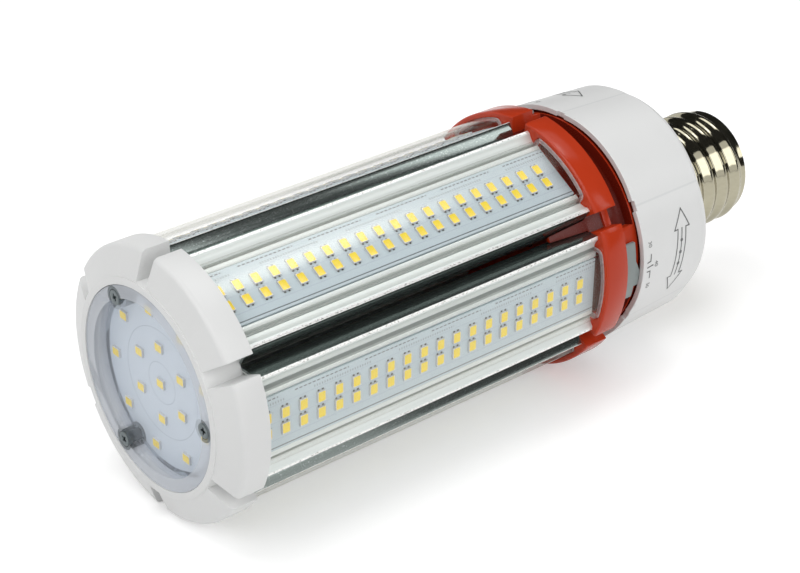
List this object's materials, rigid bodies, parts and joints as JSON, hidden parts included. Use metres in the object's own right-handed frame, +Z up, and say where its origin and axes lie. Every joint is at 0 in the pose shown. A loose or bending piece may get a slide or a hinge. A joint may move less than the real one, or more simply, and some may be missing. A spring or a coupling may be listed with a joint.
{
  "type": "led hid replacement bulb",
  "caption": "LED lamp with lit panels round a finned core, a clear end lens, a red collar with slide selectors, a white driver housing and a screw base.",
  "frame": {"origin": "middle of the lamp's length, at the surface that its lower lobes lie on", "axes": "+X along the lamp axis towards the screw base, -Y out through the panel with the power selector, +Z up"},
  "size_m": [0.2384, 0.0844, 0.0842],
  "materials": {
    "white_plastic": "satin moulded white",
    "clear_plastic": "clear polycarbonate",
    "board": "white solder mask",
    "led": "yellow phosphor in white frames",
    "steel": "plated",
    "aluminium": "bare extruded",
    "red_plastic": "glossy moulded red",
    "grey_plastic": "matte moulded grey",
    "ferrite": "ferrite and copper winding",
    "black_plastic": "glossy black",
    "lead": "sleeved wire",
    "nickel": "nickel plated",
    "contact_brass": "bare"
  },
  "bodies": {
    "lamp": {"base_insulator": "black_plastic", "capacitors": "aluminium", "centre_contact": "contact_brass", "choke": "ferrite", "collar": "red_plastic", "collar_screws": "steel", "colour_switch": "steel", "contact_lead": "lead", "cover_1": "clear_plastic", "cover_2": "clear_plastic", "cover_3": "clear_plastic", "cover_4": "clear_plastic", "cover_5": "clear_plastic", "cover_6": "clear_plastic", "driver_board": "board", "end_board": "board", "end_cap": "white_plastic", "end_lead": "lead", "end_leds": "led", "end_lens": "clear_plastic", "end_screws": "steel", "heat_sink_1": "aluminium", "heat_sink_2": "aluminium", "heat_sink_3": "aluminium", "heat_sink_4": "aluminium", "heat_sink_5": "aluminium", "heat_sink_6": "aluminium", "housing": "white_plastic", "led_board_1": "board", "led_board_2": "board", "led_board_3": "board", "led_board_4": "board", "led_board_5": "board", "led_board_6": "board", "leds_1": "led", "leds_2": "led", "leds_3": "led", "leds_4": "led", "leds_5": "led", "leds_6": "led", "power_switch": "steel", "rectifier": "black_plastic", "screw_shell": "nickel", "transformer": "ferrite", "transistor": "black_plastic"},
    "power_selector": {"power_slider": "grey_plastic"},
    "colour_selector": {"colour_slider": "grey_plastic"}
  },
  "joints": [
    {"name": "power_select", "type": "hinge", "parent": "lamp", "child": "power_selector", "pos_m": [0, 0, 0.0421], "axis": [-1, 0, 0], "range_deg": [0, 6]},
    {"name": "colour_select", "type": "hinge", "parent": "lamp", "child": "colour_selector", "pos_m": [0, 0, 0.0421], "axis": [-1, 0, 0], "range_deg": [0, 6]}
  ]
}
